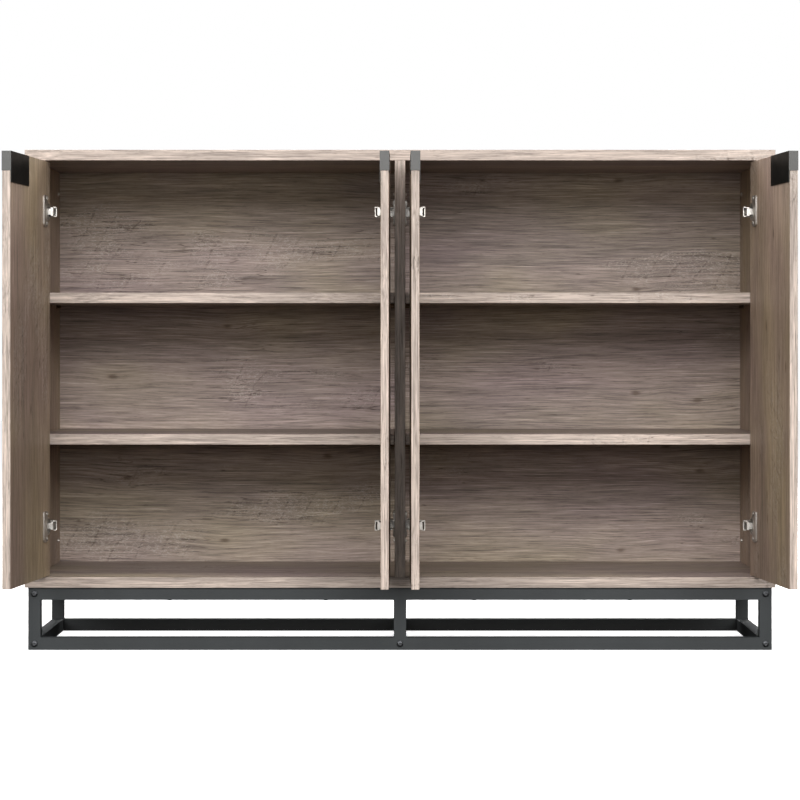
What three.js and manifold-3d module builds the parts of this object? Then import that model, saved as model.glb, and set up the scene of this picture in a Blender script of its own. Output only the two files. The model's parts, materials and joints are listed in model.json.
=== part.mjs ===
// Sideboard buffet: an oak-faced cabinet with four inset doors, on a base of square steel tube.
// Millimetres. +X is to the right seen from the front, +Y runs from the front to the back, +Z is up.
// The origin is on the floor, at the middle of the base. The doors stand open: the two outer ones
// at OUTER_DOOR_ANGLE and the two beside the divider at INNER_DOOR_ANGLE.
import * as THREE from "three";
import { mergeVertices } from "three/addons/utils/BufferGeometryUtils.js";
import Module from "manifold-3d";

const wasm = await Module();
wasm.setup();

// ---- Driving dimensions ----

// Cabinet
const WIDTH = 1200;
const DEPTH = 350;
const HEIGHT = 800;
const BOARD = 17; // every carcass board and shelf
const SHELF_CLEARANCE = 5.3; // shelf's front edge to the doors' turning corners
const SHELF_END_GAP = 0.75;
const SHELF_REAR_GAP = 1;
const BACK_BOARD = 5;
const BACK_INSET = 3; // back board in from the carcass's rear edge
const BACK_TONGUE = 5; // back board's reach into its grooves
const GROOVE_CLEARANCE = 0.3; // around the back board in its grooves

// Base
const BASE_HEIGHT = 100;
const BASE_INSET = 5; // base in from the carcass, all round
const TUBE = 20;
const TUBE_WALL = 1.5;
const RAIL_END_PLATE = 3;
const BOLT_RADIUS = 3;
const BOLT_LENGTH = 35;
const BOLT_HEAD_RADIUS = 5.25;
const BOLT_HEAD_HEIGHT = 3.3;
const BOLT_SOCKET_RADIUS = 2.3; // corner radius of the hexagon
const BOLT_SOCKET_DEPTH = 2;
const BOLT_CLEARANCE = 0.3;
const NUT_RADIUS = 6.4; // corner radius
const NUT_LENGTH = 5;

// Doors
const DOOR_THICKNESS = 12.5;
const DOOR_END_GAP = 1.5; // above and below each door
const DOOR_SIDE_GAP = 3.2; // between a door's hinge edge and its panel
const DOOR_MEETING_GAP = 3; // between the two doors of a bay
const OUTER_DOOR_ANGLE = 95.3;
const INNER_DOOR_ANGLE = 89.7;
const SEAT_GAP = 0.3; // between pieces that seat on each other in a turned door

// Corner pulls: a sheet-metal tray in a notch at the door's free top corner
const PULL_LENGTH = 125.5; // back plate
const PULL_HEIGHT = 47; // back plate
const PULL_FLANGE = 17; // back plate's overlap on the board, beside and below the notch
const PULL_SHEET = 1;
const PULL_PROUD = 0.8; // tray's rim in front of the door's face
const PULL_LIP = 12; // finger lip along the free edge

// Hinges
const HINGE_FROM_END = 80; // hinge's centre from the door's top or bottom
const PIVOT_BELOW_FACE = 3.5; // pivot below the door's inner face
const SWING_CLEARANCE = 0.36; // between the door's turning corner and its panel
const CUP_RADIUS = 13;
const CUP_DEPTH = 9;
const CUP_WALL = 1;
const CUP_FROM_PIVOT = 6;
const CUP_RIM = 1.5; // how far the rim stands out round the cup
const EAR_PLATE = 1.8;
const EAR_WIDTH = 25;
const EAR_HEIGHT = 49;
const EAR_FROM_PIVOT = 12;
const EAR_CORNER = 4;
const EAR_SCREW_FROM_PIVOT = 18;
const EAR_SCREW_SPACING = 40;
const SCREW_HOLE_RADIUS = 2.1;
const PIN_RADIUS = 1.25;
const PIN_CLEARANCE = 0.4;
const KNUCKLE_RADIUS = 2.4;
const LUG_RADIUS = 2.8;
const LUG_THICKNESS = 3;
const LINK_HEIGHT = 9.6;
const LINK_THICKNESS = 2;
const LINK_REACH = 16; // pivot to the outer face of the arm's crank
const BLOCK_FROM_PIVOT = 6.6; // the link's head, between the arm's prongs
const BLOCK_WIDTH = 6;
const BLOCK_SLOPE = 0.41; // its hinge side leans away from the cup's rim, which comes close when open
const BLOCK_HEIGHT = 13.4;
const BLOCK_CORNER = 1.2;
const ARM_HEIGHT = 16;
const ARM_SHEET = 1.5;
const ARM_STRAIGHT = 29.5; // length of the arm's part along its panel
const ARM_TOP = 12; // arm's straight part above its panel
const ARM_SKIRT = 3.2; // arm's lower edge above its panel
const ARM_CHEEK = 5; // depth of the arm's sides at the crank
const PRONG_LENGTH = 7; // arm's sides in front of its web
const ARM_CLEARANCE = 0.4; // arm to cup ears, door closed
const CRANK_CLEARANCE = 0.8; // arm to the door's turning corner
const CRANK_RUN = 18; // front to back length of the slope down to the panel
const ADJUSTER_RADIUS = 2.8;
const ADJUSTER_HEIGHT = 1.4;
const WING_PLATE = 2;
const WING_WIDTH = 16;
const WING_HEIGHT = 42;
const WING_CORNER = 3;
const WING_SCREW_SPACING = 32;
const PLATE_RAIL_HEIGHT = 12;
const PLATE_RAIL_LENGTH = 24;

// ---- Places worked out from them. Depths (Y) count from the carcass's front. ----

const halfWidth = WIDTH / 2;
const sideInner = halfWidth - BOARD;
const dividerFace = BOARD / 2;
const floorTop = BASE_HEIGHT + BOARD;
const ceiling = HEIGHT - BOARD;
const backRear = DEPTH - BACK_INSET;
const backFront = backRear - BACK_BOARD;
const bays = [
  { name: "left", x: [-sideInner, -dividerFace] },
  { name: "right", x: [dividerFace, sideInner] },
];
const doorWidth = (sideInner - dividerFace - 2 * DOOR_SIDE_GAP - DOOR_MEETING_GAP) / 2;
const doorBottom = floorTop + DOOR_END_GAP;
const doorTop = ceiling - DOOR_END_GAP;

// The pivot's depth behind the door's front, and its distance from the door's hinge edge. The edge's
// front corner turns about the pivot, so the distance is what lets that corner pass the panel.
const pivotDepth = DOOR_THICKNESS - PIVOT_BELOW_FACE;
const cornerRoom = DOOR_SIDE_GAP - SWING_CLEARANCE;
const pivotInset = (pivotDepth ** 2 - cornerRoom ** 2) / (2 * cornerRoom);
const pivotFromPanel = DOOR_SIDE_GAP + pivotInset;
const cornerRadius = Math.hypot(pivotInset, pivotDepth);
const cornerReach = pivotDepth + cornerRadius;

const hinges = [
  { name: "upper", z: doorTop - HINGE_FROM_END },
  { name: "lower", z: doorBottom + HINGE_FROM_END },
];

// hand is 1 where the door reaches to the right of its hinges, and -1 where it reaches to the left.
const doors = [
  { name: "outer_left", hand: 1, panelX: -sideInner, angle: OUTER_DOOR_ANGLE },
  { name: "inner_left", hand: -1, panelX: -dividerFace, angle: INNER_DOOR_ANGLE },
  { name: "inner_right", hand: 1, panelX: dividerFace, angle: INNER_DOOR_ANGLE },
  { name: "outer_right", hand: -1, panelX: sideInner, angle: OUTER_DOOR_ANGLE },
];

// ---- Finishes ----

const OAK = { color: 0xa9957f, roughness: 0.62, metalness: 0 };
const BACK_OAK = { color: 0x8f7f70, roughness: 0.7, metalness: 0 };
const BLACK_STEEL = { color: 0x4a4b4d, roughness: 0.55, metalness: 0.3 };
const BOLT_BLACK = { color: 0x2e2f31, roughness: 0.45, metalness: 0.7 };
const PULL_BLACK = { color: 0x333333, roughness: 0.4, metalness: 0.5 };
const NICKEL = { color: 0xd8d4cd, roughness: 0.28, metalness: 0.9 };

// ---- Geometry helpers ----

const span = (a, b) => (a < b ? [a, b] : [b, a]);
const about = (centre, size) => [centre - size / 2, centre + size / 2];

// A box between pairs of bounds. Its corners are exact, so two boxes may share a face.
function slab([x0, x1], [y0, y1], [z0, z1]) {
  const geometry = new THREE.BoxGeometry(1, 1, 1);
  const corners = geometry.attributes.position;
  for (let i = 0; i < corners.count; i++) {
    const x = corners.getX(i) < 0 ? x0 : x1;
    const y = corners.getY(i) < 0 ? y0 : y1;
    const z = corners.getZ(i) < 0 ? z0 : z1;
    corners.setXYZ(i, x, y, z);
  }
  return geometry;
}

// A round or many-sided rod along Y at (x, z), or along Z at (x, y).
const SMALL_ROUND = 12; // sides of a hole, pin or screw
const CUP_ROUND = 24; // sides of a hinge cup
function rodAlongY([x, z], [y0, y1], radius, sides = SMALL_ROUND) {
  return new THREE.CylinderGeometry(radius, radius, y1 - y0, sides).translate(x, (y0 + y1) / 2, z);
}
function rodAlongZ([x, y], [z0, z1], radius, sides = SMALL_ROUND) {
  const geometry = new THREE.CylinderGeometry(radius, radius, z1 - z0, sides).rotateX(Math.PI / 2);
  return geometry.translate(x, y, (z0 + z1) / 2);
}

// An outline in X and Y, carried up from z0 to z1.
function prism(points, [z0, z1]) {
  const outline = new THREE.Shape(points.map(([x, y]) => new THREE.Vector2(x, y)));
  const geometry = new THREE.ExtrudeGeometry(outline, { depth: z1 - z0, bevelEnabled: false });
  return geometry.translate(0, 0, z0);
}

// A rectangle with round corners in X and Z, of the thickness y0 to y1.
function roundedPlateAcrossY([x0, x1], [z0, z1], radius, [y0, y1]) {
  const outline = new THREE.Shape();
  outline.absarc(x1 - radius, z1 - radius, radius, 0, Math.PI / 2);
  outline.absarc(x0 + radius, z1 - radius, radius, Math.PI / 2, Math.PI);
  outline.absarc(x0 + radius, z0 + radius, radius, Math.PI, 1.5 * Math.PI);
  outline.absarc(x1 - radius, z0 + radius, radius, 1.5 * Math.PI, 2 * Math.PI);
  const settings = { depth: y1 - y0, bevelEnabled: false, curveSegments: 3 };
  const geometry = new THREE.ExtrudeGeometry(outline, settings);
  return geometry.rotateX(Math.PI / 2).translate(0, y1, 0);
}

// The same, in Y and Z, of the thickness x0 to x1.
function roundedPlateAcrossX([x0, x1], [y0, y1], [z0, z1], radius) {
  const flat = roundedPlateAcrossY([y0, y1], [z0, z1], radius, [-x1, -x0]);
  return flat.rotateZ(Math.PI / 2);
}

function solidOf(geometry) {
  const bare = geometry.clone();
  bare.deleteAttribute("normal");
  bare.deleteAttribute("uv");
  const merged = mergeVertices(bare);
  const vertProperties = merged.attributes.position.array;
  const triVerts = new Uint32Array(merged.index.array);
  return new wasm.Manifold(new wasm.Mesh({ numProp: 3, vertProperties, triVerts }));
}

function geometryOf(solid) {
  const { vertProperties, triVerts } = solid.getMesh();
  const geometry = new THREE.BufferGeometry();
  geometry.setAttribute("position", new THREE.BufferAttribute(vertProperties, 3));
  geometry.setIndex(new THREE.BufferAttribute(triVerts, 1));
  geometry.computeVertexNormals();
  return geometry;
}

function join(base, ...others) {
  return geometryOf(others.reduce((made, other) => made.add(solidOf(other)), solidOf(base)));
}

function cut(base, ...tools) {
  return geometryOf(tools.reduce((made, tool) => made.subtract(solidOf(tool)), solidOf(base)));
}

function piece(name, geometry, finish) {
  const mesh = new THREE.Mesh(geometry, new THREE.MeshStandardMaterial(finish));
  mesh.name = name;
  return mesh;
}

function groupOf(...pieces) {
  return new THREE.Group().add(...pieces);
}

// ---- Carcass ----

// The grooves round each back board, which are cut into every board that they reach.
function backGrooves() {
  const reach = BACK_TONGUE + GROOVE_CLEARANCE;
  return bays.map(({ x: [left, right] }) =>
    slab(
      [left - reach, right + reach],
      [backFront - GROOVE_CLEARANCE, backRear + GROOVE_CLEARANCE],
      [floorTop - reach, ceiling + reach],
    ),
  );
}

function carcassBoards() {
  const depth = [0, DEPTH];
  const between = [floorTop, ceiling];
  const boards = {
    top_board: slab([-halfWidth, halfWidth], depth, [ceiling, HEIGHT]),
    bottom_board: slab([-halfWidth, halfWidth], depth, [BASE_HEIGHT, floorTop]),
    left_side_board: slab([-halfWidth, -sideInner], depth, between),
    right_side_board: slab([sideInner, halfWidth], depth, between),
    centre_divider: slab([-dividerFace, dividerFace], depth, between),
  };
  return Object.entries(boards).map(([name, board]) => piece(name, cut(board, ...backGrooves()), OAK));
}

function backBoards() {
  return bays.map(({ name, x: [left, right] }) =>
    piece(
      `${name}_back_board`,
      slab(
        [left - BACK_TONGUE, right + BACK_TONGUE],
        [backFront, backRear],
        [floorTop - BACK_TONGUE, ceiling + BACK_TONGUE],
      ),
      BACK_OAK,
    ),
  );
}

// The shelves of a bay divide it into equal spaces.
function shelves() {
  const levels = ["lower", "upper"];
  const space = (ceiling - floorTop - levels.length * BOARD) / (levels.length + 1);
  return bays.flatMap(({ name: bay, x: [left, right] }) =>
    levels.map((level, below) => {
      const underside = floorTop + space + below * (space + BOARD);
      const board = slab(
        [left + SHELF_END_GAP, right - SHELF_END_GAP],
        [cornerReach + SHELF_CLEARANCE, backFront - SHELF_REAR_GAP],
        [underside, underside + BOARD],
      );
      return piece(`${bay}_${level}_shelf`, board, OAK);
    }),
  );
}

// ---- Base ----

const postX = halfWidth - BASE_INSET - TUBE / 2;
const lowRail = TUBE / 2;
const highRail = BASE_HEIGHT - TUBE / 2;
const frontFrame = [BASE_INSET, BASE_INSET + TUBE];
const rearFrame = [DEPTH - BASE_INSET - TUBE, DEPTH - BASE_INSET];
const crossRails = [
  { name: "left_lower", x: -postX, z: lowRail },
  { name: "centre_lower", x: 0, z: lowRail },
  { name: "right_lower", x: postX, z: lowRail },
  { name: "left_upper", x: -postX, z: highRail },
  { name: "right_upper", x: postX, z: highRail },
];

// A frame's rails and posts, each drawn in by the given amount on every side.
function frameBars([y0, y1], inset) {
  const depth = [y0 + inset, y1 - inset];
  const thick = TUBE - 2 * inset;
  const long = about(0, 2 * postX + thick);
  const rails = [lowRail, highRail].map((z) => slab(long, depth, about(z, thick)));
  const posts = [-postX, 0, postX].map((x) =>
    slab(about(x, thick), depth, [inset, BASE_HEIGHT - inset]),
  );
  return [...rails, ...posts];
}

function boltHole({ x, z }, [y0, y1]) {
  return rodAlongY([x, z], [y0 - 1, y1 + 1], BOLT_RADIUS + BOLT_CLEARANCE);
}

function weldedFrame(name, depth) {
  const outside = join(...frameBars(depth, 0));
  const hollow = join(...frameBars(depth, TUBE_WALL));
  const holes = crossRails.map((rail) => boltHole(rail, depth));
  return piece(name, cut(outside, hollow, ...holes), BLACK_STEEL);
}

// A tube between the frames, with an end plate and a welded nut at each end.
function crossRail({ name, x, z }) {
  const ends = [frontFrame[1], rearFrame[0]];
  const plates = [ends[0] + RAIL_END_PLATE, ends[1] - RAIL_END_PLATE];
  const bore = TUBE - 2 * TUBE_WALL;
  const tube = cut(slab(about(x, TUBE), ends, about(z, TUBE)), slab(about(x, bore), plates, about(z, bore)));
  const nutSpans = [
    [plates[0] - 1, plates[0] + NUT_LENGTH],
    [plates[1] - NUT_LENGTH, plates[1] + 1],
  ];
  const nuts = nutSpans.map((depth) => rodAlongY([x, z], depth, NUT_RADIUS, 6));
  return piece(`${name}_rail`, cut(join(tube, ...nuts), boltHole({ x, z }, ends)), BLACK_STEEL);
}

// A button-head bolt with its head's underside at y = 0, the head towards +Y.
function boltShape() {
  const shoulder = BOLT_HEAD_RADIUS * 0.93;
  const crown = BOLT_HEAD_RADIUS * 0.62;
  const profile = [
    [0, -BOLT_LENGTH],
    [BOLT_RADIUS - 0.8, -BOLT_LENGTH],
    [BOLT_RADIUS, -BOLT_LENGTH + 0.8],
    [BOLT_RADIUS, 0],
    [BOLT_HEAD_RADIUS, 0],
    [BOLT_HEAD_RADIUS, BOLT_HEAD_HEIGHT * 0.25],
    [shoulder, BOLT_HEAD_HEIGHT * 0.65],
    [crown, BOLT_HEAD_HEIGHT],
    [0, BOLT_HEAD_HEIGHT],
  ];
  const turned = new THREE.LatheGeometry(profile.map(([r, y]) => new THREE.Vector2(r, y)), SMALL_ROUND);
  const socketSpan = [BOLT_HEAD_HEIGHT - BOLT_SOCKET_DEPTH, BOLT_HEAD_HEIGHT + 1];
  return cut(turned, rodAlongY([0, 0], socketSpan, BOLT_SOCKET_RADIUS, 6));
}

function boltsThrough(face, y, turn) {
  return crossRails.map(({ name, x, z }) => {
    const bolt = piece(`${face}_${name}_bolt`, boltShape(), BOLT_BLACK);
    bolt.rotation.z = turn;
    bolt.position.set(x, y, z);
    return bolt;
  });
}

// ---- Doors. Inside a door's group the pivot is the origin and the door is closed. ----

// x and y in a door's group, from the distance out of its hinge edge and behind its front face.
function doorPlace(hand) {
  return {
    out: (a, b) => span(hand * (a - pivotInset), hand * (b - pivotInset)),
    in: (a, b) => [a - pivotDepth, b - pivotDepth],
    x: (a) => hand * (a - pivotInset),
  };
}

function doorBoard({ name, hand }) {
  const at = doorPlace(hand);
  const board = slab(at.out(0, doorWidth), at.in(0, DOOR_THICKNESS), [doorBottom, doorTop]);
  const notch = slab(
    at.out(doorWidth - PULL_LENGTH + PULL_FLANGE, doorWidth + 1),
    at.in(-1, DOOR_THICKNESS + 1),
    [doorTop - PULL_HEIGHT + PULL_FLANGE, doorTop + 1],
  );
  const boreDepth = at.in(DOOR_THICKNESS - CUP_DEPTH, DOOR_THICKNESS + 1);
  const bores = hinges.map(({ z }) =>
    rodAlongY([at.x(pivotInset + CUP_FROM_PIVOT), z], boreDepth, CUP_RADIUS + SEAT_GAP, CUP_ROUND),
  );
  return piece(`${name}_door_board`, cut(board, notch, ...bores), OAK);
}

function cornerPull({ name, hand }) {
  const at = doorPlace(hand);
  const trayStart = doorWidth - PULL_LENGTH + PULL_FLANGE + SEAT_GAP;
  const trayBottom = doorTop - PULL_HEIGHT + PULL_FLANGE + SEAT_GAP;
  const plateFront = DOOR_THICKNESS + SEAT_GAP;
  const plateRear = plateFront + PULL_SHEET;
  const tray = slab(at.out(trayStart, doorWidth), at.in(-PULL_PROUD, plateRear), [trayBottom, doorTop]);
  const recess = slab(
    at.out(trayStart + PULL_SHEET, doorWidth - PULL_SHEET),
    at.in(-PULL_PROUD - 1, plateFront),
    [trayBottom + PULL_SHEET, doorTop - PULL_SHEET],
  );
  const plate = slab(
    at.out(doorWidth - PULL_LENGTH, doorWidth),
    at.in(plateFront, plateRear),
    [doorTop - PULL_HEIGHT, doorTop],
  );
  const lip = slab(
    at.out(doorWidth - PULL_LIP, doorWidth),
    at.in(-PULL_PROUD, PULL_SHEET - PULL_PROUD),
    [trayBottom, doorTop],
  );
  return piece(`${name}_corner_pull`, join(cut(tray, recess), plate, lip), PULL_BLACK);
}

// The hinge's half on the door: a cup let into the board, two lugs for the pin, and the ears.
function hingeCup({ name, hand }, { name: level, z }) {
  const at = doorPlace(hand);
  const seat = DOOR_THICKNESS + SEAT_GAP;
  const cupX = at.x(pivotInset + CUP_FROM_PIVOT);
  const cupFloor = seat - CUP_DEPTH + CUP_WALL;
  const shell = rodAlongY([cupX, z], at.in(seat - CUP_DEPTH, seat + EAR_PLATE), CUP_RADIUS, CUP_ROUND);
  const rim = rodAlongY([cupX, z], at.in(seat, seat + EAR_PLATE), CUP_RADIUS + CUP_RIM, CUP_ROUND);
  const earStart = pivotInset + EAR_FROM_PIVOT;
  const ears = roundedPlateAcrossY(
    at.out(earStart, earStart + EAR_WIDTH),
    about(z, EAR_HEIGHT),
    EAR_CORNER,
    at.in(seat, seat + EAR_PLATE),
  );
  const mouth = rodAlongY([cupX, z], at.in(cupFloor, seat + EAR_PLATE + 1), CUP_RADIUS - CUP_WALL, CUP_ROUND);
  const screwX = at.x(pivotInset + EAR_SCREW_FROM_PIVOT);
  const screwHoles = about(z, EAR_SCREW_SPACING).map((screwZ) =>
    rodAlongY([screwX, screwZ], at.in(seat - 1, seat + EAR_PLATE + 1), SCREW_HOLE_RADIUS),
  );
  const lugInner = LINK_HEIGHT / 2 + PIN_CLEARANCE;
  const lugs = [-1, 1].map((side) =>
    slab(
      about(0, 2 * LUG_RADIUS),
      at.in(cupFloor - CUP_WALL / 2, pivotDepth + LUG_RADIUS),
      span(z + side * lugInner, z + side * (lugInner + LUG_THICKNESS)),
    ),
  );
  const pinHole = rodAlongZ([0, 0], about(z, 2 * (lugInner + LUG_THICKNESS) + 1), PIN_RADIUS + PIN_CLEARANCE);
  const cup = join(cut(join(shell, rim, ears), mouth, ...screwHoles), ...lugs);
  return piece(`${name}_${level}_hinge_cup`, cut(cup, pinHole), NICKEL);
}

function door(spec) {
  const leaf = groupOf(
    doorBoard(spec),
    cornerPull(spec),
    ...hinges.map((hinge) => hingeCup(spec, hinge)),
  );
  leaf.position.set(spec.panelX + spec.hand * pivotFromPanel, pivotDepth, 0);
  leaf.rotation.z = -spec.hand * THREE.MathUtils.degToRad(spec.angle);
  return leaf;
}

// ---- The hinges' halves on the panels ----

const crankY = cornerReach + CRANK_CLEARANCE;
const slopeEnd = crankY + CRANK_RUN;
const armEnd = slopeEnd + ARM_STRAIGHT;

// The hinge's arm, cranked round the door's edge: a folded channel that is open towards the panel,
// with a narrow link into the cup and a knuckle on the pin.
function hingeArm({ name, hand, panelX }, { name: level, z }) {
  const at = (points) => points.map(([a, y]) => [panelX + hand * a, y]);
  const off = (a, b) => span(panelX + hand * a, panelX + hand * b);
  const crown = pivotFromPanel + LINK_REACH;
  const channelFront = DOOR_THICKNESS + SEAT_GAP + EAR_PLATE + ARM_CLEARANCE;
  const cheekInner = crown - ARM_CHEEK;
  const outside = at([
    [crown, channelFront],
    [crown, crankY + 1],
    [crown - 1, crankY + 3.5],
    [crown - 3.5, crankY + 5.5],
    [ARM_TOP, slopeEnd],
    [ARM_TOP, armEnd],
    [ARM_SKIRT, armEnd],
    [ARM_SKIRT, crankY + 3],
    [cheekInner, crankY],
    [cheekInner, channelFront],
  ]);
  const inside = at([
    [crown - ARM_SHEET, channelFront - 1],
    [crown - ARM_SHEET, crankY + 0.5],
    [crown - 1 - ARM_SHEET, crankY + 2.5],
    [crown - 3.5 - ARM_SHEET, crankY + 4.3],
    [ARM_TOP - ARM_SHEET, slopeEnd - 0.6],
    [ARM_TOP - ARM_SHEET, armEnd - ARM_SHEET],
    [0, armEnd - ARM_SHEET],
    [0, channelFront - 1],
  ]);
  const webStart = channelFront + PRONG_LENGTH;
  const channel = cut(
    prism(outside, about(z, ARM_HEIGHT)),
    prism(inside, about(z, ARM_HEIGHT - 2 * ARM_SHEET)),
    slab(off(cheekInner - 1, crown + 1), [channelFront - 1, webStart], about(z, ARM_HEIGHT - 2 * ARM_SHEET)),
  );
  const blockStart = pivotFromPanel + BLOCK_FROM_PIVOT;
  const blockEnd = blockStart + BLOCK_WIDTH;
  const linkDepth = about(pivotDepth, LINK_THICKNESS);
  const link = slab(off(pivotFromPanel, blockEnd - 1), linkDepth, about(z, LINK_HEIGHT));
  const leanEnd = linkDepth[0] + LINK_REACH / 2;
  const blockOutline = at([
    [blockStart, linkDepth[0] + BLOCK_CORNER],
    [blockStart + BLOCK_CORNER, linkDepth[0]],
    [blockEnd - BLOCK_CORNER, linkDepth[0]],
    [blockEnd, linkDepth[0] + BLOCK_CORNER],
    [blockEnd, webStart],
    [blockStart + BLOCK_SLOPE * (leanEnd - linkDepth[0]), webStart],
    [blockStart + BLOCK_SLOPE * (leanEnd - linkDepth[0]), leanEnd],
  ]);
  const block = prism(blockOutline, about(z, BLOCK_HEIGHT));
  const pivot = [panelX + hand * pivotFromPanel, pivotDepth];
  const knuckle = rodAlongZ(pivot, about(z, LINK_HEIGHT), KNUCKLE_RADIUS);
  const pin = rodAlongZ(pivot, about(z, LINK_HEIGHT + 2 * LUG_THICKNESS), PIN_RADIUS);
  const adjusters = [0.3, 0.75].map((share) => {
    const y = slopeEnd + share * ARM_STRAIGHT;
    const start = panelX + hand * (ARM_TOP - ARM_SHEET / 2);
    const end = panelX + hand * (ARM_TOP + ADJUSTER_HEIGHT);
    const head = rodAlongY([0, z], span(start, end), ADJUSTER_RADIUS);
    return head.rotateZ(-Math.PI / 2).translate(0, y, 0);
  });
  const arm = join(channel, block, link, knuckle, pin, ...adjusters);
  return piece(`${name}_${level}_hinge_arm`, arm, NICKEL);
}

// The plate that the arm clips on: two wings screwed to the panel and a rail inside the arm.
function hingePlate({ name, hand, panelX }, { name: level, z }) {
  const off = (a, b) => span(panelX + hand * a, panelX + hand * b);
  const railStart = slopeEnd + 1;
  const middle = railStart + PLATE_RAIL_LENGTH / 2;
  const wings = roundedPlateAcrossX(
    off(0, WING_PLATE),
    about(middle, WING_WIDTH),
    about(z, WING_HEIGHT),
    WING_CORNER,
  );
  const rail = slab(
    off(0, ARM_TOP - ARM_SHEET - SEAT_GAP),
    [railStart, railStart + PLATE_RAIL_LENGTH],
    about(z, PLATE_RAIL_HEIGHT),
  );
  const holes = about(z, WING_SCREW_SPACING).map((screwZ) => {
    const hole = rodAlongY([0, screwZ], off(-1, WING_PLATE + 1), SCREW_HOLE_RADIUS);
    return hole.rotateZ(-Math.PI / 2).translate(0, middle, 0);
  });
  return piece(`${name}_${level}_hinge_plate`, cut(join(wings, rail), ...holes), NICKEL);
}

// ---- The whole sideboard ----

const sideboard = groupOf(
  ...carcassBoards(),
  ...backBoards(),
  ...shelves(),
  weldedFrame("front_frame", frontFrame),
  weldedFrame("rear_frame", rearFrame),
  ...crossRails.map(crossRail),
  ...boltsThrough("front", frontFrame[0], Math.PI),
  ...boltsThrough("rear", rearFrame[1], 0),
  ...doors.map(door),
  ...doors.flatMap((spec) => hinges.map((hinge) => hingeArm(spec, hinge))),
  ...doors.flatMap((spec) => hinges.map((hinge) => hingePlate(spec, hinge))),
);
sideboard.position.y = -DEPTH / 2;

export default groupOf(sideboard);
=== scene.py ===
"""The looks of the sideboard buffet, built on its CAD frame.

Metres, +X right, +Y back, +Z up. The doors are at rest as the frame has them, standing open.
Every pattern is worked out from a piece's own coordinates, so it stays on the piece as it moves.
"""
import json
import math

import bmesh
import bpy
from mathutils import Matrix, Vector


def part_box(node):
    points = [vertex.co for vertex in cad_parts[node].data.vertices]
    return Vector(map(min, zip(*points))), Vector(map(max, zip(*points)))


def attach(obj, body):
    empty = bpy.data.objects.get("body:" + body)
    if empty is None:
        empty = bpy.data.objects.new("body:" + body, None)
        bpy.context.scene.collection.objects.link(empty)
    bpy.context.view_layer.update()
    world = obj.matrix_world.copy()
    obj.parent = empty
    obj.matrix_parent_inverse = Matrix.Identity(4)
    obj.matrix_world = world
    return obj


MM = 0.001

# Places that the small pieces share with the CAD model
DOOR_THICKNESS = 12.5 * MM
PIVOT_DEPTH = 9 * MM  # door's front face to its pivot
OPEN_ANGLES = {"outer": 95.3, "inner": 89.7}
HANDS = {"outer_left": 1, "inner_left": -1, "inner_right": 1, "outer_right": -1}
LEVELS = ("upper", "lower")
EAR_FACE = 2.1 * MM  # hinge cup's ears above the door's inner face
EAR_SCREW_FROM_PIVOT = 18 * MM
EAR_SCREW_SPACING = 40 * MM
WING_PLATE = 2 * MM
WING_SCREW_SPACING = 32 * MM
SHELF_END_GAP = 0.75 * MM
TUBE = 20 * MM

# Rounding of edges
EASED_FROM = math.radians(38)  # edges that turn by less aren't rounded
FLAT_WITHIN = math.radians(0.5)  # neighbours that turn by less are one flat face
SHARP_FROM = math.radians(35)  # on the small pieces, edges that turn by more stay sharp
EASED_SEGMENTS = 2
WELD_DISTANCE = 0.01 * MM
EASED = {
    "board": 0.6 * MM,
    "back board": 0.3 * MM,
    "tube": 1.1 * MM,
    "bolt": 0.3 * MM,
    "pull": 0.25 * MM,
    "hinge": 0.25 * MM,
}

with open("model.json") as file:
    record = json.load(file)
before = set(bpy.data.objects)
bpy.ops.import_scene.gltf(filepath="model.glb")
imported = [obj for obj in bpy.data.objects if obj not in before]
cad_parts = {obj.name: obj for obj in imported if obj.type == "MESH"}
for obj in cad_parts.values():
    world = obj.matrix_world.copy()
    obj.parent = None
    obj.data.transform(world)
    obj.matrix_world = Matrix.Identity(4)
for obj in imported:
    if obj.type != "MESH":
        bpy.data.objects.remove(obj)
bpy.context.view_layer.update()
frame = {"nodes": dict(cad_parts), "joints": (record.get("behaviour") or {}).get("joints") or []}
nodes = frame["nodes"]


# ---- Shader nodes ----


def srgb(red, green, blue):
    """A linear colour from 8-bit screen values."""
    channels = [c / 255 for c in (red, green, blue)]
    linear = [c / 12.92 if c <= 0.04045 else ((c + 0.055) / 1.055) ** 2.4 for c in channels]
    return (*linear, 1)


def grey(level):
    return (level, level, level, 1)


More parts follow.
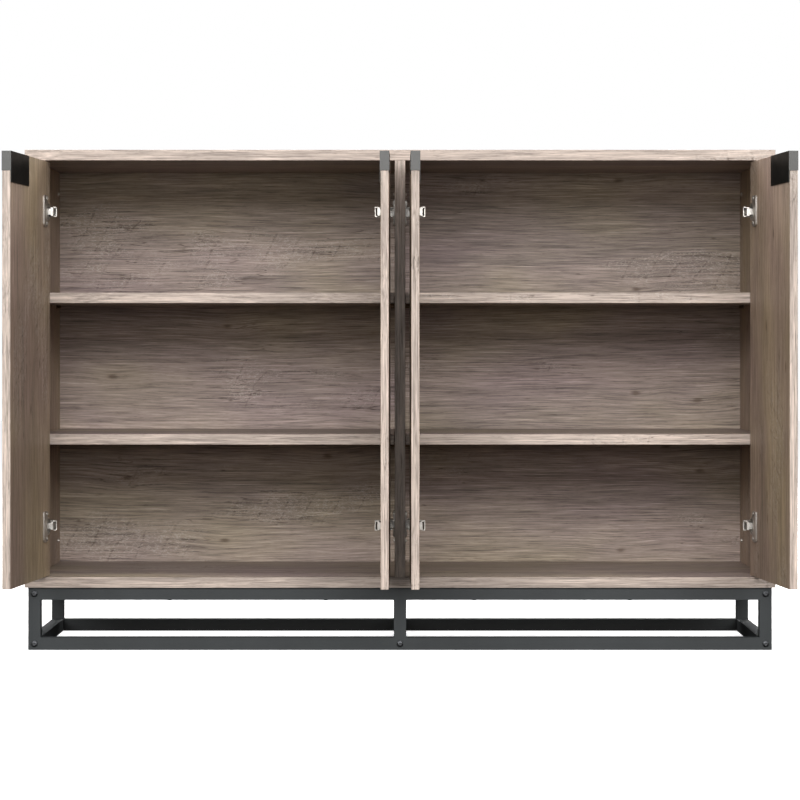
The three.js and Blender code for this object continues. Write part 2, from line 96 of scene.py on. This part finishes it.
class Shading:
    """One material's node tree, with short calls for the nodes that the patterns use."""

    def __init__(self, name):
        self.material = bpy.data.materials.new(name)
        self.material.use_nodes = True
        self.tree = self.material.node_tree
        self.shader = self.tree.nodes["Principled BSDF"]

    def node(self, kind, inputs=None, **settings):
        made = self.tree.nodes.new(kind)
        for key, value in settings.items():
            setattr(made, key, value)
        for key, value in (inputs or {}).items():
            self.put(made.inputs[key], value)
        return made

    def put(self, socket, value):
        if isinstance(value, bpy.types.NodeSocket):
            self.tree.links.new(value, socket)
        else:
            socket.default_value = value

    def math(self, operation, a, b=0.0, clamp=False):
        made = self.node("ShaderNodeMath", {0: a, 1: b}, operation=operation, use_clamp=clamp)
        return made.outputs[0]

    def plus(self, a, b):
        return self.math("ADD", a, b)

    def minus(self, a, b):
        return self.math("SUBTRACT", a, b)

    def times(self, a, b):
        return self.math("MULTIPLY", a, b)

    def most(self, a, b):
        return self.math("MAXIMUM", a, b)

    def size_of(self, value):
        return self.math("ABSOLUTE", value)

    def split(self, vector):
        return self.node("ShaderNodeSeparateXYZ", {0: vector}).outputs

    def vector(self, x, y, z):
        return self.node("ShaderNodeCombineXYZ", {0: x, 1: y, 2: z}).outputs[0]

    def noise(self, vector, scale=1.0, detail=2.0, roughness=0.5):
        inputs = {"Vector": vector, "Scale": scale, "Detail": detail, "Roughness": roughness}
        return self.node("ShaderNodeTexNoise", inputs).outputs["Fac"]

    def between(self, value, low, high):
        """0 below low, 1 above high and smooth in between; high may be the lesser."""
        inputs = {"Value": value, "From Min": low, "From Max": high}
        made = self.node("ShaderNodeMapRange", inputs, interpolation_type="SMOOTHSTEP")
        return made.outputs["Result"]

    def mix(self, amount, a, b, blend="MIX", data="RGBA"):
        made = self.node("ShaderNodeMix", {0: amount}, data_type=data, blend_type=blend)
        suffix = "Color" if data == "RGBA" else "Vector"
        sockets = {socket.identifier: socket for socket in [*made.inputs, *made.outputs]}
        self.put(sockets[f"A_{suffix}"], a)
        self.put(sockets[f"B_{suffix}"], b)
        return sockets[f"Result_{suffix}"]

    def ramp(self, value, stops):
        made = self.node("ShaderNodeValToRGB", {0: value})
        elements = made.color_ramp.elements
        elements[0].position, elements[0].color = stops[0]
        elements[1].position, elements[1].color = stops[-1]
        for position, colour in stops[1:-1]:
            elements.new(position).color = colour
        return made.outputs["Color"]

    def bump(self, height, strength, distance):
        inputs = {"Height": height, "Strength": strength, "Distance": distance}
        return self.node("ShaderNodeBump", inputs).outputs["Normal"]

    def finish(self, **inputs):
        for key, value in inputs.items():
            self.put(self.shader.inputs[key.replace("_", " ").title()], value)
        return self.material


# ---- Weathered oak ----

# Which of a board's own axes run along its grain, across its face and through it
LYING = (0, 1, 2)  # top, bottom and shelves
BACK = (0, 2, 1)
STANDING = (2, 1, 0)  # sides, divider and doors

# The print's colours
HUES = [(0.34, srgb(149, 132, 128)), (0.50, srgb(156, 141, 131)), (0.64, srgb(161, 147, 129))]
PAINTED_LIGHT_ON_EDGES = srgb(177, 162, 151)  # the boards' edges printed lighter: painted light standing in for the light that falls on their front edges
CRACK = srgb(58, 45, 38)
KNOT = srgb(84, 66, 54)
CHALK = srgb(214, 204, 194)
WARM = (0.97, 0.90, 0.76)  # doors and panels print a little darker and browner
PLAIN = (1.0, 1.0, 1.0)

# The light and dark that the patterns multiply the colour by
BROAD_SHADES = [(0.32, grey(0.84)), (0.50, grey(1.0)), (0.68, grey(1.16))]
FIGURE_SHADES = [(0.30, grey(0.82)), (0.50, grey(1.0)), (0.70, grey(1.15))]
BAND_SHADES = [(0.28, grey(0.52)), (0.42, grey(0.86)), (0.55, grey(1.06)), (0.72, grey(1.42))]
STREAK_SHADES = [(0.28, grey(0.62)), (0.50, grey(1.0)), (0.72, grey(1.40))]

# Each pattern's cycles a metre, along the grain and across it
HUE_CYCLES = (2.3, 5.0)
PATCH_CYCLES = (3.4, 8.0)
WANDER_CYCLES = (1.5, 4.0)
BROAD_CYCLES = (0.8, 11.0)
FIGURE_CYCLES = (2.0, 75.0)
BAND_CYCLES = (10.0, 320.0)
STREAK_CYCLES = (14.0, 610.0)
PORE_CYCLES = (60.0, 1500.0)
SPLIT_CYCLES = (3.6, 66.0)
SAW_CYCLES = (24.0, 14.0)
SAW_WOBBLE_CYCLES = (13.0, 13.0)
CRACKLE_CYCLES = (75.0, 210.0)
KNOT_CELLS = (2.9, 6.4, 0.0)

# How far the figure moves across the grain
WANDER_REACH = 30 * MM
KNOT_PUSH = 5 * MM
SAW_WOBBLE = 1.1  # in cycles

# How strongly each mark tints the print
GRAIN_LINE = 0.30
PORE = 0.40
SPLIT = 0.5
SAW_MARK = 0.4
CRACKLE = 0.36
FLECK = 0.30
KNOT_TINT = 0.6

OAK_REFLECTION = 0.4
PRINT_RELIEF = 0.5 * MM
FACES = 0.7  # a normal's part along an axis, from which a face looks along it
EDGE_ON = 0.5  # and below which it's an edge of the board

# Hardboard, the plain rear of the back boards
FIBRE_HUES = [(0.3, srgb(104, 81, 61)), (0.5, srgb(118, 94, 72)), (0.7, srgb(134, 109, 85))]
FIBRE_CYCLES = (600.0, 600.0)
MOTTLE = srgb(130, 106, 82)
MOTTLE_CYCLES = (9.0, 9.0)
MOTTLE_TINT = 0.35
HARDBOARD_ROUGHNESS = 0.82


class Grain:
    """The place on a board: along its grain, across its face and through it.

    On the board's ends the banding's grain runs along the end.
    """

    def __init__(self, s, axes, shift):
        self.s = s
        coordinates = s.node("ShaderNodeTexCoord").outputs
        place = s.split(coordinates["Object"])
        self.outward = s.split(coordinates["Normal"])
        along, across, through = axes
        end_along = 1 if along != 1 else 0
        others = [axis for axis in range(3) if axis != end_along]
        at_end = s.math("GREATER_THAN", s.size_of(self.outward[along]), FACES)
        on_face = s.vector(place[along], place[across], place[through])
        on_end = s.vector(place[end_along], place[others[0]], place[others[1]])
        chosen = s.mix(at_end, on_face, on_end, data="VECTOR")
        moved = s.node("ShaderNodeVectorMath", {0: chosen, 1: shift}, operation="ADD")
        self.along, self.across, self.through = s.split(moved.outputs[0])
        self.bent = self.across
        self.on_board_edge = s.math("LESS_THAN", s.size_of(self.outward[through]), EDGE_ON)

    def straight(self, along, across, through=None):
        """The place in cycles, of a pattern that the figure doesn't bend."""
        cycles = (along, across, across if through is None else through)
        parts = (self.along, self.across, self.through)
        return self.s.vector(*[self.s.times(part, rate) for part, rate in zip(parts, cycles)])

    def bend(self, *moves):
        """Moves the figure across the grain by each of the moves in turn."""
        for move in moves:
            self.bent = self.s.plus(self.bent, move)

    def figured(self, along, across):
        """The place in cycles, of a pattern that follows the figure."""
        cycles = (along, across, across)
        parts = (self.along, self.bent, self.through)
        return self.s.vector(*[self.s.times(part, rate) for part, rate in zip(parts, cycles)])


def hardboard(s, grain):
    """A fibrous brown sheet with a soft mottle."""
    fibres = s.noise(grain.straight(*FIBRE_CYCLES), detail=3.0, roughness=0.7)
    mottle = s.noise(grain.straight(*MOTTLE_CYCLES), detail=5.0, roughness=0.6)
    return s.mix(s.times(s.between(mottle, 0.3, 0.75), MOTTLE_TINT), s.ramp(fibres, FIBRE_HUES), MOTTLE)


def oak(name, axes, shift, tone=PLAIN, roughness=0.5, plain_rear=False):
    """Oak print: soft growth figure, fine light and dark streaks, pores, splits, saw marks and
    chalky wear. A plain rear is hardboard on the faces that look back."""
    s = Shading(name)
    grain = Grain(s, axes, shift)

    # Knots lie on the face at random and push the figure aside.
    cells = s.node(
        "ShaderNodeTexVoronoi",
        {"Vector": grain.straight(*KNOT_CELLS), "Scale": 1.0, "Randomness": 1.0},
        voronoi_dimensions="2D",
    )
    knot_distance = cells.outputs["Distance"]
    push = s.times(s.between(knot_distance, 0.26, 0.0), KNOT_PUSH)
    wander = s.noise(grain.straight(*WANDER_CYCLES), detail=2.0, roughness=0.45)
    grain.bend(s.times(s.minus(wander, 0.5), WANDER_REACH), push)

    hue = s.noise(grain.straight(*HUE_CYCLES), detail=3.0, roughness=0.55)
    patches = s.noise(grain.straight(*PATCH_CYCLES), detail=3.0, roughness=0.6)
    broad = s.noise(grain.figured(*BROAD_CYCLES), detail=3.0, roughness=0.5)
    figure = s.noise(grain.figured(*FIGURE_CYCLES), detail=4.0, roughness=0.6)
    bands = s.noise(grain.figured(*BAND_CYCLES), detail=4.0, roughness=0.75)
    streaks = s.noise(grain.figured(*STREAK_CYCLES), detail=2.0, roughness=0.6)
    pores = s.noise(grain.figured(*PORE_CYCLES), detail=1.0)

    colour = s.ramp(hue, HUES)
    colour = s.mix(1.0, colour, (*tone, 1), "MULTIPLY")
    # Every edge of a board is made lighter: painted light for the light that falls on the boards' front
    # edges.
    colour = s.mix(grain.on_board_edge, colour, PAINTED_LIGHT_ON_EDGES)
    colour = s.mix(1.0, colour, s.ramp(broad, BROAD_SHADES), "MULTIPLY")
    colour = s.mix(0.8, colour, s.ramp(figure, FIGURE_SHADES), "MULTIPLY")
    colour = s.mix(1.0, colour, s.ramp(bands, BAND_SHADES), "MULTIPLY")
    colour = s.mix(0.8, colour, s.ramp(streaks, STREAK_SHADES), "MULTIPLY")

    # Thin dark grain lines, pores, and long splits where the wood is rough
    grain_line = s.times(s.between(bands, 0.415, 0.36), s.between(streaks, 0.40, 0.55))
    colour = s.mix(s.times(grain_line, GRAIN_LINE), colour, CRACK)
    pore = s.between(pores, 0.36, 0.27)
    colour = s.mix(s.times(pore, PORE), colour, CRACK)
    rough_area = s.between(patches, 0.54, 0.64)
    ridge = s.size_of(s.minus(s.noise(grain.figured(*SPLIT_CYCLES), detail=3.0), 0.5))
    split = s.times(s.between(ridge, 0.010, 0.002), s.between(patches, 0.50, 0.57))
    colour = s.mix(s.times(split, SPLIT), colour, CRACK)

    # Saw marks slant across the grain in patches.
    slant = s.minus(s.times(grain.along, SAW_CYCLES[0]), s.times(grain.across, SAW_CYCLES[1]))
    wobble = s.noise(grain.straight(*SAW_WOBBLE_CYCLES), detail=3.0)
    slant = s.plus(slant, s.times(wobble, SAW_WOBBLE))
    saw_line = s.size_of(s.minus(s.math("FRACT", slant), 0.5))
    saw = s.times(s.between(saw_line, 0.07, 0.01), rough_area)
    saw = s.times(saw, s.between(bands, 0.58, 0.44))
    colour = s.mix(s.times(saw, SAW_MARK), colour, CRACK)

    # Chalky wear: crackled lines in the rough patches and short flecks along the grain
    crackle_noise = s.noise(grain.straight(*CRACKLE_CYCLES), detail=3.0, roughness=0.6)
    crackle_line = s.size_of(s.minus(crackle_noise, 0.5))
    crackle = s.times(s.between(crackle_line, 0.035, 0.006), rough_area)
    fleck = s.times(s.between(streaks, 0.60, 0.70), s.between(bands, 0.50, 0.62))
    colour = s.mix(s.most(s.times(crackle, CRACKLE), s.times(fleck, FLECK)), colour, CHALK)

    # The banding has no knots.
    knot_edge = s.plus(knot_distance, s.times(bands, 0.05))
    knot = s.times(s.between(knot_edge, 0.062, 0.030), s.minus(1.0, grain.on_board_edge))
    colour = s.mix(s.times(knot, KNOT_TINT), colour, KNOT)

    # The marks are pressed into the print, and are duller than it.
    sunk = s.most(s.most(pore, split), s.most(saw, knot))
    height = s.plus(s.times(streaks, 0.4), s.times(bands, 0.6))
    height = s.minus(height, s.times(sunk, 0.45))
    height = s.plus(height, s.times(crackle, 0.25))
    sheen = s.plus(s.times(bands, -0.16), roughness + 0.08)
    sheen = s.math("ADD", sheen, s.times(sunk, 0.2), clamp=True)

    if plain_rear:
        at_rear = s.math("GREATER_THAN", grain.outward[1], FACES)
        colour = s.mix(at_rear, colour, hardboard(s, grain))
        sheen = s.most(sheen, s.times(at_rear, HARDBOARD_ROUGHNESS))
    s.shader.inputs["Specular IOR Level"].default_value = OAK_REFLECTION
    return s.finish(base_color=colour, roughness=sheen, normal=s.bump(height, 0.35, PRINT_RELIEF))


# ---- Metals and coatings ----


def powder_coat(name, base, low, high, roughness=0.42):
    """Fine-textured powder coat: sandy bump, and a finish that varies a little over the bars."""
    s = Shading(name)
    place = s.node("ShaderNodeTexCoord").outputs["Object"]
    grains = s.noise(place, scale=1900.0, detail=2.0, roughness=0.6)
    cloud = s.noise(place, scale=9.0, detail=3.0)
    scuffs = s.noise(place, scale=120.0, detail=4.0, roughness=0.7)
    colour = s.mix(s.between(cloud, 0.3, 0.7), low, high)
    colour = s.mix(s.between(grains, 0.45, 0.75), colour, base)
    rough = s.plus(s.times(scuffs, 0.22), roughness)
    return s.finish(base_color=colour, roughness=rough, normal=s.bump(grains, 0.35, 0.12 * MM))


def metal(name, dark, light, roughness, grazing=1.0):
    """Bare or plated metal with faint brushing and smears. The lower grazing is, the darker it is
    when it's seen almost edge on."""
    s = Shading(name)
    place = s.node("ShaderNodeTexCoord").outputs["Object"]
    brushing = s.noise(place, scale=900.0, detail=3.0, roughness=0.6)
    smears = s.noise(place, scale=70.0, detail=3.0)
    colour = s.mix(s.between(brushing, 0.3, 0.7), dark, light)
    rough = s.plus(s.times(smears, 0.16), roughness - 0.08)
    rough = s.plus(rough, s.times(brushing, 0.06))
    s.shader.inputs["Metallic"].default_value = 1.0
    s.shader.inputs["Specular Tint"].default_value = grey(grazing)
    return s.finish(base_color=colour, roughness=rough, normal=s.bump(brushing, 0.1, 0.05 * MM))


black_steel = powder_coat("black_powder_coat", srgb(54, 57, 58), srgb(43, 46, 47), srgb(51, 54, 55))
pull_black = metal("satin_black_plate", srgb(69, 69, 68), srgb(76, 75, 74), 0.3, grazing=0.48)
bolt_black = metal("black_oxide", srgb(82, 83, 85), srgb(104, 105, 107), 0.4)
nickel = metal("nickel_plate", srgb(188, 183, 177), srgb(214, 210, 204), 0.38)
pin_bronze = metal("bronze_pin", srgb(96, 78, 60), srgb(120, 100, 80), 0.45)


# ---- The CAD nodes: eased edges and a material each ----


def ease_edges(obj, width):
    """Joins the imported mesh's split edges and flat faces, and rounds its edges a little."""
    if "custom_normal" in obj.data.attributes:
        obj.data.attributes.remove(obj.data.attributes["custom_normal"])
    obj.data.shade_smooth()
    weld = obj.modifiers.new("weld", "WELD")
    weld.merge_threshold = WELD_DISTANCE
    flat = obj.modifiers.new("flat_faces", "DECIMATE")
    flat.decimate_type = "DISSOLVE"
    flat.angle_limit = FLAT_WITHIN
    bevel = obj.modifiers.new("eased_edges", "BEVEL")
    bevel.width = width
    bevel.segments = EASED_SEGMENTS
    bevel.limit_method = "ANGLE"
    bevel.angle_limit = EASED_FROM
    bevel.harden_normals = True


def dress(name, material, kind):
    obj = nodes[name]
    obj.data.materials.clear()
    obj.data.materials.append(material)
    ease_edges(obj, EASED[kind])


BOARDS = {
    "top_board": (LYING, PLAIN),
    "bottom_board": (LYING, PLAIN),
    "left_lower_shelf": (LYING, PLAIN),
    "left_upper_shelf": (LYING, PLAIN),
    "right_lower_shelf": (LYING, PLAIN),
    "right_upper_shelf": (LYING, PLAIN),
    "left_side_board": (STANDING, WARM),
    "right_side_board": (STANDING, WARM),
    "centre_divider": (STANDING, WARM),
    **{f"{name}_door_board": (STANDING, WARM) for name in HANDS},
}

# Each board is cut from another place of the print.
for count, (name, (axes, tone)) in enumerate(BOARDS.items()):
    place = (1.37 * count, 0.61 * count, 0.29 * count)
    dress(name, oak(f"oak_{name}", axes, place, tone), "board")
for count, name in enumerate(("left_back_board", "right_back_board")):
    place = (3.1 + 2.3 * count, 1.7 + 0.9 * count, 0.4)
    material = oak(f"oak_{name}", BACK, place, roughness=0.58, plain_rear=True)
    dress(name, material, "back board")
for name in nodes:
    if name.endswith(("_frame", "_rail")):
        dress(name, black_steel, "tube")
    elif name.endswith("_bolt"):
        dress(name, bolt_black, "bolt")
    elif name.endswith("_corner_pull"):
        dress(name, pull_black, "pull")
    elif "_hinge_" in name:
        dress(name, nickel, "hinge")


# ---- Mesh helpers for the small pieces ----


def new_object(name, data):
    obj = bpy.data.objects.new(name, data)
    bpy.context.scene.collection.objects.link(obj)
    return obj


def mesh_of(name, bm):
    """A mesh of what was built in bm, which is freed."""
    mesh = bpy.data.meshes.new(name)
    bm.to_mesh(mesh)
    bm.free()
    return mesh


def turned(profile, sides=32):
    """A shape turned about Z from (radius, z) points, closed at both ends."""
    bm = bmesh.new()
    rings = []
    for radius, z in profile:
        if radius == 0:
            rings.append([bm.verts.new((0, 0, z))])
            continue
        angles = [2 * math.pi * i / sides for i in range(sides)]
        rings.append([bm.verts.new((radius * math.cos(a), radius * math.sin(a), z)) for a in angles])
    for low, high in zip(rings, rings[1:]):
        for i in range(sides):
            after = i + 1
            lower = [low[i % len(low)], low[after % len(low)]]
            upper = [high[after % len(high)], high[i % len(high)]]
            corners = list(dict.fromkeys(lower + upper))
            if len(corners) > 2:
                bm.faces.new(corners)
    bmesh.ops.recalc_face_normals(bm, faces=bm.faces)
    return mesh_of("turned", bm)


def cross_recess(radius, top, depth):
    """A cross-shaped cutter that narrows with depth, centred on Z."""
    slot_width, floor_length, floor_width = 0.42, 0.45, 0.28
    bm = bmesh.new()
    for turn in (0, math.pi / 2):
        made = bmesh.ops.create_cube(bm, size=1)["verts"]
        for vert in made:
            low = vert.co.z < 0
            vert.co.x *= 2 * radius * (floor_length if low else 1)
            vert.co.y *= radius * (floor_width if low else slot_width)
            vert.co.z = top - depth if low else top + 1 * MM
        bmesh.ops.rotate(bm, verts=made, cent=(0, 0, 0), matrix=Matrix.Rotation(turn, 3, "Z"))
    return mesh_of("recess", bm)


def cut_from(mesh, cutter):
    """The mesh with the cutter taken out of it."""
    body, tool = new_object("cut_body", mesh), new_object("cut_tool", cutter)
    boolean = body.modifiers.new("cut", "BOOLEAN")
    boolean.operation = "DIFFERENCE"
    boolean.use_self = True
    boolean.object = tool
    evaluated = body.evaluated_get(bpy.context.evaluated_depsgraph_get())
    made = bpy.data.meshes.new_from_object(evaluated)
    for obj in (body, tool):
        bpy.data.objects.remove(obj)
    return made


def copies(name, mesh, places, material, body):
    """One piece made of the mesh at each of the places, riding on a body."""
    bm = bmesh.new()
    for place in places:
        copy = mesh.copy()
        copy.transform(place)
        bm.from_mesh(copy)
        bpy.data.meshes.remove(copy)
    joined = mesh_of(name, bm)
    joined.materials.clear()
    joined.materials.append(material)
    joined.shade_smooth()
    joined.set_sharp_from_angle(angle=SHARP_FROM)
    obj = new_object(name, joined)
    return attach(obj, body)


def facing(point, direction, spin=0.0):
    """A place at a point, with its Z axis along a direction and a turn about it."""
    turn = Vector(direction).to_track_quat("Z", "Y").to_matrix().to_4x4()
    return Matrix.Translation(point) @ turn @ Matrix.Rotation(spin, 4, "Z")


def in_mm(profile):
    return [(radius * MM, z * MM) for radius, z in profile]


# Profiles as (radius, height) in millimetres. Heights count from the face that the piece stands on.
SCREW_PROFILE = [
    (0, -3),
    (1.6, -3),
    (1.9, -0.2),
    (3.589, 0),
    (3.7, 0.25),
    (3.441, 0.8),
    (2.664, 1.25),
    (1.48, 1.46),
    (0, 1.5),
]
SHELF_PIN_PROFILE = [
    (0, -6),
    (2.1, -6),
    (2.45, -5.5),
    (2.45, 0),
    (3.6, 0),
    (3.6, 0.5),
    (3.3, 0.8),
    (2.45, 0.8),
    (2.45, 6.6),
    (2.0, 7.3),
    (1.1, 7.7),
    (0, 7.8),
]
STUD_PROFILE = [
    (0, -4),
    (2.2, -4),
    (2.2, 0),
    (4.2, 0),
    (4.2, 0.5),
    (3.8, 0.9),
    (2.9, 1.0),
    (2.6, 2.1),
    (1.5, 2.8),
    (0, 3.0),
]


def with_recess(profile, radius, depth):
    """A turned shape with a cross recess in its top."""
    top = profile[-1][1]
    return cut_from(turned(profile), cross_recess(radius, top, depth))


# A pan-head screw with a stub of its shank, a flanged shelf pin with a domed end, and the domed end
# of a panel connector
screw = with_recess(in_mm(SCREW_PROFILE), radius=1.9 * MM, depth=1.3 * MM)
shelf_pin = turned(in_mm(SHELF_PIN_PROFILE))
stud = with_recess(in_mm(STUD_PROFILE), radius=1.3 * MM, depth=1.0 * MM)


# ---- Screws of the hinges ----

pivots = {joint["child"]: joint["pos_m"] for joint in frame["joints"]}


def door_place(name):
    """From a closed door about its pivot to the door as it stands at rest."""
    x, y, _ = pivots[f"{name}_door"]
    angle = -HANDS[name] * math.radians(OPEN_ANGLES[name.split("_")[0]])
    return Matrix.Translation((x, y, 0)) @ Matrix.Rotation(angle, 4, "Z")


inner_face = DOOR_THICKNESS + EAR_FACE - PIVOT_DEPTH
for name, hand in HANDS.items():
    on_door = door_place(name)
    for level in LEVELS:
        hinge = f"{name}_{level}_hinge"
        low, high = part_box(f"{hinge}_plate")
        middle = (low + high) / 2
        panel = low.x if hand > 0 else high.x
        ear_screws = []
        plate_screws = []
        for side in (-1, 1):
            ear_height = middle.z + side * EAR_SCREW_SPACING / 2
            ear_point = (hand * EAR_SCREW_FROM_PIVOT, inner_face, ear_height)
            ear_screws.append(on_door @ facing(ear_point, (0, 1, 0), 0.5 + side))
            wing_height = middle.z + side * WING_SCREW_SPACING / 2
            wing_point = (panel + hand * WING_PLATE, middle.y, wing_height)
            plate_screws.append(facing(wing_point, (hand, 0, 0), 0.9 - side))
        copies(f"{hinge}_cup_screws", screw, ear_screws, nickel, f"{name}_door")
        copies(f"{hinge}_plate_screws", screw, plate_screws, nickel, "root")


# ---- Shelf pins and panel connectors ----

PIN_FROM_SHELF_EDGE = 46 * MM
PIN_BELOW_SHELF = 2.5 * MM  # a pin's centre below the shelf's underside
for bay in ("left", "right"):
    for level in ("lower", "upper"):
        low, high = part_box(f"{bay}_{level}_shelf")
        places = []
        for x, direction in ((low.x - SHELF_END_GAP, 1), (high.x + SHELF_END_GAP, -1)):
            for y in (low.y + PIN_FROM_SHELF_EDGE, high.y - PIN_FROM_SHELF_EDGE):
                places.append(facing((x, y, low.z - PIN_BELOW_SHELF), (direction, 0, 0)))
        copies(f"{bay}_{level}_shelf_pins", shelf_pin, places, pin_bronze, "root")

STUD_FROM_REAR = 37 * MM
STUD_FROM_BOARD = 38 * MM  # above the bottom board and below the top one
STUD_TURN = 0.6
floor_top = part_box("bottom_board")[1].z
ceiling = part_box("top_board")[0].z
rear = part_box("top_board")[1].y
side_faces = {
    "left_side": [(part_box("left_side_board")[1].x, 1)],
    "divider": [(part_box("centre_divider")[0].x, -1), (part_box("centre_divider")[1].x, 1)],
    "right_side": [(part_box("right_side_board")[0].x, -1)],
}
for name, faces in side_faces.items():
    places = [
        facing((x, rear - STUD_FROM_REAR, z), (direction, 0, 0), STUD_TURN)
        for x, direction in faces
        for z in (floor_top + STUD_FROM_BOARD, ceiling - STUD_FROM_BOARD)
    ]
    copies(f"{name}_studs", stud, places, nickel, "root")


# ---- Base: weld beads in the frames' corners and the screws up into the cabinet ----

BEAD_RADIUS = 0.9 * MM
BEAD_RIPPLES = 11
BEAD_END_GAP = 1.5 * MM  # from each end of a bead to the tube's edge
SCREW_SHARES = (0.62, 0.2)  # the base's screws, as shares of its half width


def bead(length, radius, ripples, sides=10, steps_each=4):
    """A weld bead along X: a swelling line of overlapping ripples."""
    bm = bmesh.new()
    steps = ripples * steps_each
    angles = [2 * math.pi * j / sides for j in range(sides)]
    rings = []
    for i in range(steps + 1):
        share = i / steps
        swell = 1 + 0.16 * math.sin(2 * math.pi * ripples * share)
        taper = min(1, 0.35 + 6 * min(share, 1 - share))
        size = radius * swell * taper
        x = (share - 0.5) * length
        rings.append([bm.verts.new((x, size * math.cos(a), size * math.sin(a))) for a in angles])
    for low, high in zip(rings, rings[1:]):
        for j in range(sides):
            after = (j + 1) % sides
            bm.faces.new((low[j], low[after], high[after], high[j]))
    bm.faces.new(rings[0])
    bm.faces.new(rings[-1])
    bmesh.ops.recalc_face_normals(bm, faces=bm.faces)
    return mesh_of("bead", bm)


corner_bead = bead(TUBE - 2 * BEAD_END_GAP, BEAD_RADIUS, BEAD_RIPPLES)
for name in ("front_frame", "rear_frame"):
    low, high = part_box(name)
    middle_y = (low.y + high.y) / 2
    window_x = [low.x + TUBE, -TUBE / 2, TUBE / 2, high.x - TUBE]
    places = [
        Matrix.Translation((x, middle_y, z)) @ Matrix.Rotation(math.pi / 2, 4, "Z")
        for x in window_x
        for z in (low.z + TUBE, high.z - TUBE)
    ]
    copies(f"{name}_welds", corner_bead, places, black_steel, "root")
    outer_share, inner_share = SCREW_SHARES
    screw_x = [low.x * outer_share, low.x * inner_share, high.x * inner_share, high.x * outer_share]
    base_screws = [facing((x, middle_y, high.z - TUBE), (0, 0, -1), x * 3) for x in screw_x]
    copies(f"{name}_screws", screw, base_screws, bolt_black, "root")


# ---- Stage, light and camera ----

FLOOR_HALF = 14.0
FLOOR_GLOW = 0.8
LIGHT_BELOW = (0.012, 0.011, 0.01, 1)
LIGHT_ABOVE = (0.09, 0.09, 0.093, 1)
WHITE = (1, 1, 1, 1)


def stage_floor():
    """A pale floor that shows to the camera, but throws no light up at the cabinet."""
    s = Shading("studio_floor")
    speckle = s.noise(s.node("ShaderNodeTexCoord").outputs["Object"], scale=3.0, detail=2.0)
    colour = s.mix(speckle, grey(0.93), grey(0.96))
    s.shader.inputs["Emission Color"].default_value = WHITE
    s.shader.inputs["Emission Strength"].default_value = FLOOR_GLOW
    material = s.finish(base_color=colour, roughness=0.9)
    bm = bmesh.new()
    bmesh.ops.create_grid(bm, x_segments=2, y_segments=2, size=FLOOR_HALF)
    mesh = mesh_of("studio_floor", bm)
    mesh.materials.append(material)
    floor = new_object("studio_floor", mesh)
    floor.visible_diffuse = False
    floor.visible_glossy = False
    return floor


stage_floor()


def white_world():
    """White to the camera, and a soft weak light that is less from below to everything else."""
    world = bpy.data.worlds.new("studio")
    world.use_nodes = True
    tree = world.node_tree
    tree.nodes.clear()
    output = tree.nodes.new("ShaderNodeOutputWorld")
    seen = tree.nodes.new("ShaderNodeBackground")
    seen.inputs["Strength"].default_value = 1.0
    seen.inputs["Color"].default_value = WHITE
    lit = tree.nodes.new("ShaderNodeBackground")
    lit.inputs["Strength"].default_value = 1.0
    coordinates = tree.nodes.new("ShaderNodeTexCoord")
    height = tree.nodes.new("ShaderNodeSeparateXYZ")
    tree.links.new(coordinates.outputs["Generated"], height.inputs[0])
    ramp = tree.nodes.new("ShaderNodeValToRGB")
    ramp.color_ramp.elements[0].position = 0.40
    ramp.color_ramp.elements[0].color = LIGHT_BELOW
    ramp.color_ramp.elements[1].position = 0.60
    ramp.color_ramp.elements[1].color = LIGHT_ABOVE
    scaled = tree.nodes.new("ShaderNodeMath")
    scaled.operation = "MULTIPLY_ADD"
    scaled.inputs[1].default_value = 0.5
    scaled.inputs[2].default_value = 0.5
    tree.links.new(height.outputs["Z"], scaled.inputs[0])
    tree.links.new(scaled.outputs[0], ramp.inputs[0])
    tree.links.new(ramp.outputs["Color"], lit.inputs["Color"])
    path = tree.nodes.new("ShaderNodeLightPath")
    choice = tree.nodes.new("ShaderNodeMixShader")
    tree.links.new(path.outputs["Is Camera Ray"], choice.inputs[0])
    tree.links.new(lit.outputs[0], choice.inputs[1])
    tree.links.new(seen.outputs[0], choice.inputs[2])
    tree.links.new(choice.outputs[0], output.inputs[0])
    bpy.context.scene.world = world


LIGHT_TARGET = Vector((0, 0, 0.45))

# Name, width, height, place, power in watts and colour. The wide ones give the flat frontal light.
SOFTBOXES = [
    ("key_softbox", 7.5, 1.4, (0, -4.9, 2.1), 310, (0.97, 0.985, 1.0)),
    ("front_softbox", 7.5, 0.6, (0, -4.9, 0.8), 66, (1.0, 0.98, 0.95)),
    ("high_softbox", 7.5, 1.2, (0, -4.6, 3.6), 95, (0.98, 0.99, 1.0)),
    ("overhead_softbox", 4.0, 2.5, (0, -0.4, 3.8), 120, (1, 1, 1)),
    ("rear_softbox", 4.0, 1.5, (0, 4.0, 3.6), 230, (1, 1, 1)),
    ("side_softbox", 2.5, 1.5, (-4.0, 1.6, 2.2), 90, (1, 1, 1)),
    ("side_softbox", 2.5, 1.5, (4.0, 1.6, 2.2), 90, (1, 1, 1)),
]


def softbox(name, width, height, place, power, colour):
    light = bpy.data.lights.new(name, "AREA")
    light.shape = "RECTANGLE"
    light.size = width
    light.size_y = height
    light.energy = power
    light.color = colour
    lamp = new_object(name, light)
    lamp.location = place
    lamp.rotation_euler = (LIGHT_TARGET - Vector(place)).to_track_quat("-Z", "Y").to_euler()
    lamp.visible_camera = False


white_world()
for settings in SOFTBOXES:
    softbox(*settings)

camera_data = bpy.data.cameras.new("front_camera")
camera_data.sensor_width = 36
camera_data.lens = 132.35
camera_data.shift_y = -0.06875
camera = new_object("front_camera", camera_data)
camera.location = (0, -4.875, 0.488)
camera.rotation_euler = (math.pi / 2, 0, 0)
bpy.context.scene.camera = camera
bpy.context.scene.view_settings.view_transform = "Standard"
bpy.context.scene.view_settings.gamma = 0.92  # a little more contrast in the dark bays
